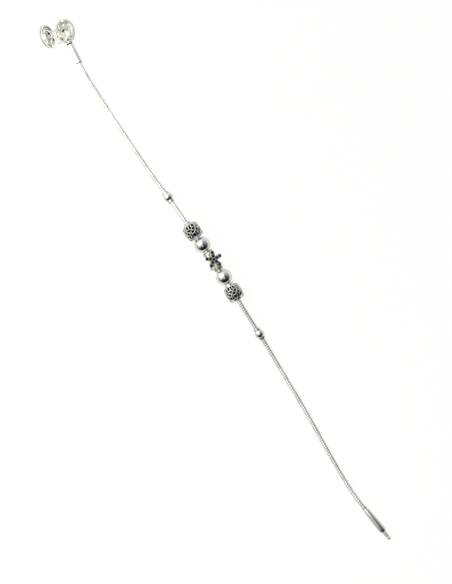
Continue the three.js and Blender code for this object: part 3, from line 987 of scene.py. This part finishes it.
# %% The cup, its seat and its cutters
def cup_shell():
    """A shallow cup with a rounded rim, its opening upward."""
    outer = []
    inner = []
    for i in range(CUP_STEPS + 1):
        angle = math.pi / 2 * i / CUP_STEPS
        for side, wall in ((outer, 0.0), (inner, CUP_WALL)):
            side.append((-(CUP_DEPTH - wall) * math.cos(angle), (CUP_RADIUS - wall) * math.sin(angle)))
    profile = soften([*outer, *reversed(inner)], 0.1)
    return stood_up(turned("cup", profile, CUP_SEGMENTS, clasp_silver))


def seat_ring():
    """The low ring inside the cup that the tip's ball rests against."""
    profile = band(-CUP_DEPTH + SEAT_FLOOR, SEAT_TOP, SEAT_RADIUS - SEAT_WALL, SEAT_RADIUS, 0.09)
    return stood_up(turned("seat", profile, CUP_SEGMENTS, clasp_silver))


def axle(name, radius, low, high, segments=32):
    """A solid cylinder on the hinge's axis with softened ends."""
    profile = soften([(low, 0.0), (low, radius), (high, radius), (high, 0.0)], radius * 0.3)
    made = turned(name, profile, segments, clasp_silver)
    made.data.transform(Matrix.Translation(Vector((0.0, -HINGE_REACH, RIM_GAP)) * MM))
    return made


def block(name, low, high):
    """A plain block between two corners, only ever joined to a cup or cut from one."""
    (x0, y0, z0), (x1, y1, z1) = low, high
    points = [(x, y, z) for x in (x0, x1) for y in (y0, y1) for z in (z0, z1)]
    faces = [(0, 1, 3, 2), (4, 6, 7, 5), (0, 4, 5, 1), (2, 3, 7, 6), (0, 2, 6, 4), (1, 5, 7, 3)]
    return new_piece(name, points, faces, polished_silver)


def knuckle_parts(low, high):
    """One knuckle of the hinge and the lug that ties it to its cup."""
    lug = block("lug", (low, -HINGE_REACH + KNUCKLE_RADIUS / 2, -LUG_DEPTH), (high, -SEAT_RADIUS, 0.0))
    return [axle("knuckle", KNUCKLE_RADIUS, low, high), lug]


def channel_cutter():
    """The channel along the clasp's axis: a narrow run for the tip, a round pocket for the sleeve."""
    end = CUP_RADIUS + 1
    narrow_end, pocket_start = CHANNEL_STEP
    pocket_end = CUP_RADIUS - CUP_WALL - 0.05
    outline = [
        (-end, 0.0), (-end, TIP_NOTCH), (narrow_end, TIP_NOTCH), (pocket_start, SLEEVE_POCKET),
        (pocket_end, SLEEVE_POCKET), (pocket_end, SLEEVE_NOTCH), (end, SLEEVE_NOTCH), (end, 0.0),
    ]
    cutter = turned("channel", outline, CHANNEL_SEGMENTS, clasp_silver)
    cutter.data.transform(Matrix.Translation(UP * RIM_GAP * MM))
    return cutter


def slot_cutter():
    """The oval slot through the floor, under the tip's ball."""
    points, faces = dome(16, 32)
    return new_piece("slot", sized(points, SLOT_HALF, SLOT_CENTRE), faces, polished_silver)


def snap_tongue():
    """The spring blade that clicks inside the other half's rim, and its root."""
    blade = block("blade", (-TONGUE_HALF, TONGUE_BACK, -0.5), (TONGUE_HALF, TONGUE_FRONT, 0.8))
    root = block("root", (-TONGUE_HALF, TONGUE_BACK, -0.55), (TONGUE_HALF, TONGUE_ROOT, -0.1))
    return [blade, root]


def rim_line():
    """A dark grey band round the cup just under its rim: a painted reflection that draws its outline."""
    low, high = RIM_LINE
    inner = CUP_RADIUS - 0.2
    profile = [(low, inner), (low, CUP_RADIUS), (high, CUP_RADIUS + 0.02), (high, inner)]
    return stood_up(turned("line", profile, CUP_SEGMENTS, engraved_silver))


# %% Join one half of the clasp and cut it
KNUCKLE_PITCH = KNUCKLE_LENGTH + KNUCKLE_GAP
HALF_KNUCKLE = KNUCKLE_LENGTH / 2
# The lid's one knuckle is in the middle, and the base's two are on either side of it.
MIDDLE = [(-HALF_KNUCKLE, HALF_KNUCKLE)]
OUTER = [(side * KNUCKLE_PITCH - HALF_KNUCKLE, side * KNUCKLE_PITCH + HALF_KNUCKLE) for side in (-1, 1)]


def joined_cup(own, extras):
    """One cup with its seat, its knuckles and any other solids joined on."""
    cup = cup_shell()
    parts = [seat_ring(), *extras]
    for low, high in own:
        parts += knuckle_parts(low, high)
    combined(cup, parts, "UNION")
    return cup


def cut_away(name, piece, material, others, chain_end):
    """Cuts the channel, the slot and the hinge's clearances from a cup or its line."""
    turn = Matrix.Rotation(chain_end, 4, "Z")
    cutters = [channel_cutter(), slot_cutter()]
    for cutter in cutters:
        cutter.data.transform(turn)
    cutters.append(axle("bore", PIN_BORE, -CUP_RADIUS, CUP_RADIUS))
    for low, high in others:
        cutters.append(axle("relief", KNUCKLE_RADIUS + KNUCKLE_GAP, low - KNUCKLE_GAP, high + KNUCKLE_GAP))
    combined(piece, cutters, "DIFFERENCE")
    piece.name = name
    finish_surface(piece, material)
    return piece


# %% Lean the halves back about the hinge
hinge = frame["joints"][0]
HINGE_CENTRE = Vector(hinge["pos_m"])
CLASP_YAW = math.radians(-15)
BASE_TILT = math.radians(45)
LID_TILT = math.radians(58)


def clasp_place(turn, tilt):
    """The place of a cup's centre, leaning back on the side of the hinge that turn chooses."""
    about = Matrix.Translation(HINGE_CENTRE) @ Matrix.Rotation(CLASP_YAW + turn, 4, "Z")
    offset = Matrix.Translation(Vector((0.0, HINGE_REACH, -RIM_GAP)) * MM)
    return about @ Matrix.Rotation(tilt, 4, "X") @ offset


base_place = clasp_place(0.0, BASE_TILT)
lid_place = clasp_place(math.pi, LID_TILT)
base = cut_away("clasp_base_cup", joined_cup(OUTER, []), clasp_silver, MIDDLE, 0.0)
settle(base, base_place, "clasp_base")
lid = cut_away("clasp_lid_cup", joined_cup(MIDDLE, snap_tongue()), clasp_silver, OUTER, math.pi)
settle(lid, lid_place, "clasp_lid", body="lid")

# %% The dark bands under the rims, a painted reflection
base_line = cut_away("clasp_base_line", rim_line(), engraved_silver, MIDDLE, 0.0)
settle(base_line, base_place, slot="oxidised_silver")
lid_line = cut_away("clasp_lid_line", rim_line(), engraved_silver, OUTER, math.pi)
settle(lid_line, lid_place, body="lid", slot="oxidised_silver")

# %% The catch pockets: black ovals of painted shade
POCKET_DEPTH = 0.1
# It is painted shade. Everything made of it lies inside the dark drum, so it is black all over.
painted_shade_black = oxide_and_shade("painted_shade_black", 5.0, 6.0, flatten=0.0, rough=0.5)


def pocket(name, around, height, half_width, half_height, lean):
    """A flat black oval of painted shade on the seat's inner wall, at an angle round it and a height."""
    points, faces = dome(10, 24)
    wall = SEAT_RADIUS - SEAT_WALL
    lean = math.radians(lean)
    shaped = []
    for x, y, z in points:
        sideways = half_width * x * math.cos(lean) - half_height * y * math.sin(lean)
        upward = half_width * x * math.sin(lean) + half_height * y * math.cos(lean)
        angle = math.radians(around) + sideways / wall
        out = wall + POCKET_DEPTH * z
        shaped.append((out * math.cos(angle), out * math.sin(angle), height + upward))
    return new_piece(name, shaped, faces, painted_shade_black)


# Each pocket: its place and body, then its angle round the seat, height, half width, half height
# and lean, with the angles in degrees.
POCKETS = {
    "clasp_base_pocket_shade": (base_place, "bracelet", (-107, -1.0, 0.34, 0.72, -25)),
    "clasp_lid_pocket_shade": (lid_place, "lid", (-60, -0.75, 0.5, 0.42, 0.0)),
}
for name, (place, body, measures) in POCKETS.items():
    settle(pocket(name, *measures), place, body=body, slot="oxidised_silver")

# %% The hinge pin
pin_reach = 1.5 * KNUCKLE_LENGTH + KNUCKLE_GAP
pin = axle("hinge_pin_rod", PIN_RADIUS, -pin_reach, pin_reach, segments=24)
settle(pin, base_place, "hinge_pin")

# %% [markdown]
# ## The sleeve
#
# The chain enters the clasp through a plain tube that ends in a ball. The ball turns in the base
# half, so the clasp can swing without bending the chain. The sleeve is turned in one piece: ball,
# thin neck and a tube with a cut line near its open end. A black ring at each end of the tube is
# painted shade: the dark outline of the shaded gap at the neck and of the tube's open end.

# %% Turn the sleeve
SLEEVE_BALL_STATION = 2.45
SLEEVE_BALL = 0.95
SLEEVE_NECK = 0.4
SLEEVE_START = 2.2
SLEEVE_RADIUS = 1.15
SLEEVE_BORE = 0.95
SLEEVE_BORE_DEPTH = 2.6
SLEEVE_END = Vector((-85.4, 0.75, 3.55))
pivot = base_place @ (Vector((SLEEVE_BALL_STATION, 0.0, RIM_GAP)) * MM)
reach = SLEEVE_END * MM - pivot
sleeve_end = reach.length / MM
neck_angle = math.degrees(math.asin(SLEEVE_NECK / SLEEVE_BALL))
sleeve_profile = soften(
    [
        *arc(SLEEVE_BALL, 180, neck_angle, 20),
        (SLEEVE_START, SLEEVE_NECK), (SLEEVE_START, SLEEVE_RADIUS - 0.15),
        (SLEEVE_START + 0.15, SLEEVE_RADIUS),
        # The cut line.
        (sleeve_end - 0.62, SLEEVE_RADIUS), (sleeve_end - 0.55, SLEEVE_RADIUS - 0.09),
        (sleeve_end - 0.48, SLEEVE_RADIUS),
        # The open end and the bore.
        (sleeve_end, SLEEVE_RADIUS), (sleeve_end, SLEEVE_BORE),
        (sleeve_end - SLEEVE_BORE_DEPTH, SLEEVE_BORE), (sleeve_end - SLEEVE_BORE_DEPTH, 0.0),
    ],
    0.07,
)
sleeve = turned("clasp_sleeve_tube", sleeve_profile, RING_SEGMENTS, clasp_silver)
sleeve_turn = Vector((1.0, 0.0, 0.0)).rotation_difference(reach)
sleeve_place = Matrix.Translation(pivot) @ sleeve_turn.to_matrix().to_4x4()
settle(sleeve, sleeve_place, "clasp_sleeve")
print(f"sleeve: {sleeve_end:.2f} mm from its ball to its end")

# %% The black rings of painted shade at its two ends
NECK_SHADE_START = 1.78
END_SHADE_LENGTH = 0.16
neck_shade = band(NECK_SHADE_START, SLEEVE_START + 0.05, 0.3, 0.95, 0.05)
lip = band(sleeve_end, sleeve_end + END_SHADE_LENGTH, SLEEVE_BORE - 0.03, SLEEVE_RADIUS - 0.16, 0.04)
for name, profile in (("clasp_sleeve_neck_shade", neck_shade), ("clasp_sleeve_end_shade", lip)):
    ring = turned(name, profile, SMALL_SEGMENTS, painted_shade_black)
    settle(ring, sleeve_place, slot="oxidised_silver")

# %% [markdown]
# ## The table
#
# The bracelet lies on plain white paper, as it would for a catalogue. The camera sees the paper a
# shade brighter than the silver does: that keeps the background clean without filling every
# reflection with white.

# %% Lay the paper
HALF_TABLE = 3.0
PAPER_GLOW = 0.27
FLASH = 1.03
FLASH_SHARE = 0.88
corners = [(x, y, 0.0) for x, y in ((-1, -1), (1, -1), (1, 1), (-1, 1))]
floor_mesh = bpy.data.meshes.new("table_top")
floor_mesh.from_pydata([Vector(corner) * HALF_TABLE for corner in corners], [], [(0, 1, 2, 3)])
table_top = bpy.data.objects.new("table_top", floor_mesh)
bpy.context.scene.collection.objects.link(table_top)
shader, tree, place, paper = blank_material("white_paper", Roughness=0.9)
shader.inputs["Specular IOR Level"].default_value = 0.0
shader.inputs["Emission Color"].default_value = (1.0, 1.0, 0.99, 1.0)
shader.inputs["Emission Strength"].default_value = PAPER_GLOW
cloud = noise(tree, place, scale=3.0, detail=2.0)
colour = ramp(tree, cloud, [(0.2, (0.68, 0.68, 0.67)), (0.8, (0.72, 0.72, 0.71))])
tree.links.new(colour, shader.inputs["Base Color"])
flash = node(tree, "ShaderNodeEmission", {"Color": (1.0, 1.0, 0.995, 1.0), "Strength": FLASH}).outputs[0]
lit = shader.outputs[0]
bright = node(tree, "ShaderNodeMixShader", {0: FLASH_SHARE, 1: lit, 2: flash}).outputs[0]
seen = node(tree, "ShaderNodeLightPath").outputs["Is Camera Ray"]
whitened = node(tree, "ShaderNodeMixShader", {0: seen, 1: lit, 2: bright}).outputs[0]
tree.links.new(whitened, tree.nodes["Material Output"].inputs["Surface"])
floor_mesh.materials.append(paper)

# %% [markdown]
# ## The room
#
# Polished silver has no colour of its own to speak of: it shows the room. The room is painted on
# the world: walls that brighten away from a dark ceiling on the tip's side, a round bright window
# high on the clasp's side, and a cooler strip of daylight over the bracelet's near side. Each patch
# is a ramp over the angle from one direction, and the patches add up.

# %% Paint the room
DARKEST = Vector((0.76, -0.09, 0.64)).normalized()
WINDOW = Vector((-0.57, -0.3, 0.76)).normalized()
DAYLIGHT = Vector((0.02, -0.7, 0.71)).normalized()
world = bpy.data.worlds.new("room")
bpy.context.scene.world = world
world.use_nodes = True
room = world.node_tree
direction = node(room, "ShaderNodeTexCoord").outputs["Generated"]


def nearness(middle):
    """How near a direction of the room is to one direction: 1 there, and -1 opposite to it."""
    product = node(room, "ShaderNodeVectorMath", {0: direction, 1: middle}, operation="DOT_PRODUCT")
    return product.outputs["Value"]


walls = [(0.0, 0.55), (0.33, 0.7), (0.45, 0.5), (0.65, 0.28), (0.75, 0.17), (0.88, 0.05), (0.94, 0.015)]
glow = [(0.6, 0.0), (0.76, 0.25), (0.86, 0.62), (0.93, 1.0)]
day = [(0.9, 0.0), (0.96, (0.24, 0.27, 0.3)), (0.985, (0.44, 0.47, 0.5))]
light = ramp(room, scaled(room, nearness(DARKEST), -1.0, 1.0), walls)
for middle, stops in ((WINDOW, glow), (DAYLIGHT, day)):
    both = node(room, "ShaderNodeMix", {"Factor": 1.0}, data_type="RGBA", blend_type="ADD")
    room.links.new(light, both.inputs[6])
    room.links.new(ramp(room, nearness(middle), stops), both.inputs[7])
    light = both.outputs[2]
room.links.new(light, room.nodes["Background"].inputs["Color"])

# %% [markdown]
# ## The lights
#
# Four kinds of light stand in the room. The softbox hangs in the window's direction and makes the
# bright spot on every bead. White cards ring the clasp, whose cups would otherwise mirror a dark
# room. Over the tip's half of the chain a dim panel and a lamp lift the chain and its paper.

# %% A light that the camera doesn't see
def area_light(name, width, height, energy, location, outward=None, spread=math.pi, shape="RECTANGLE"):
    """An area light that shines back along outward, or straight down."""
    data = bpy.data.lights.new(name, "AREA")
    data.shape = shape
    data.size = width
    data.size_y = height
    data.spread = spread
    data.energy = energy
    light = bpy.data.objects.new(name, data)
    light.location = location
    if outward:
        light.rotation_euler = outward.to_track_quat("Z", "Y").to_euler()
    light.visible_camera = False
    bpy.context.scene.collection.objects.link(light)
    return light


# %% The softbox, the panel and the lamp
SOFTBOX_AIM = Vector((-13.0, 2.5, 3.0)) * MM
SOFTBOX_DISTANCE = 0.19
area_light("softbox", 0.16, 0.2, 0.1, SOFTBOX_AIM + WINDOW * SOFTBOX_DISTANCE, WINDOW, shape="ELLIPSE")

CHAIN_MIDDLE = Vector((48.0, 1.5, 1.0)) * MM
PANEL_PLACE = CHAIN_MIDDLE + Vector((0.0, -0.01, 0.11))
PANEL_WIDTH = 0.09
PANEL_HEIGHT = 0.06
panel_energy = 0.12 * math.pi * PANEL_WIDTH * PANEL_HEIGHT
area_light("panel", PANEL_WIDTH, PANEL_HEIGHT, panel_energy, PANEL_PLACE, spread=math.radians(80))

LAMP_DISTANCE = 0.15
LAMP_SIZE = 0.08
lamp_way = Vector((0.15, -0.75, 0.65)).normalized()
lamp_place = CHAIN_MIDDLE + lamp_way * LAMP_DISTANCE
lamp = area_light("paper_lamp", LAMP_SIZE, LAMP_SIZE, 0.05, lamp_place, lamp_way)
lamp.visible_glossy = False

# %% White cards round the clasp
CARD_AIM = Vector((-95.0, 1.0, 3.0)) * MM
CARD_DISTANCE = 0.062
CARD_WIDTH = 0.054
CARD_HEIGHT = 0.05
CARD_SPREAD = math.radians(105)
# Each card: its compass direction from the clasp, its height above the horizon, and how bright it is.
CARDS = [(40, 22, 0.2), (120, 22, 0.15), (270, 26, 0.26), (320, 26, 0.3), (75, 58, 0.1)]
for i, (compass, above, glow) in enumerate(CARDS):
    level = math.cos(math.radians(above))
    turn = math.radians(compass)
    outward = Vector((level * math.cos(turn), level * math.sin(turn), math.sin(math.radians(above))))
    energy = glow * math.pi * CARD_WIDTH * CARD_HEIGHT
    location = CARD_AIM + outward * CARD_DISTANCE
    area_light(f"card_{i}", CARD_WIDTH, CARD_HEIGHT, energy, location, outward, CARD_SPREAD)
print("lights:", 3 + len(CARDS))

# %% [markdown]
# ## The camera
#
# The view is straight down, from far enough away that nothing is foreshortened, and turned so that
# the bracelet runs from the upper left corner down to the lower right.

# %% Place the camera
CAMERA_TURN = math.radians(57.41)
CAMERA_HEIGHT = 1.0
VIEW_HEIGHT = 0.1924
VIEW_SHIFT = (0.0042, 0.0008)
low, high = cad_box
middle = (low + high) / 2
camera_data = bpy.data.cameras.new("camera")
camera_data.lens = camera_data.sensor_width * CAMERA_HEIGHT / VIEW_HEIGHT
camera_data.clip_start = 0.05
camera_data.clip_end = 20.0
camera = bpy.data.objects.new("camera", camera_data)
camera.location = (middle.x + VIEW_SHIFT[0], middle.y + VIEW_SHIFT[1], CAMERA_HEIGHT)
camera.rotation_euler = (0.0, 0.0, CAMERA_TURN)
bpy.context.scene.collection.objects.link(camera)
bpy.context.scene.camera = camera
bpy.context.scene.view_settings.view_transform = "Standard"
print(f"lens: {camera_data.lens:.0f} mm")

# %% Record the sizes and finish
bpy.context.view_layer.update()
print("CAD box:", *[tuple(round(v / MM, 2) for v in c) for c in cad_box])
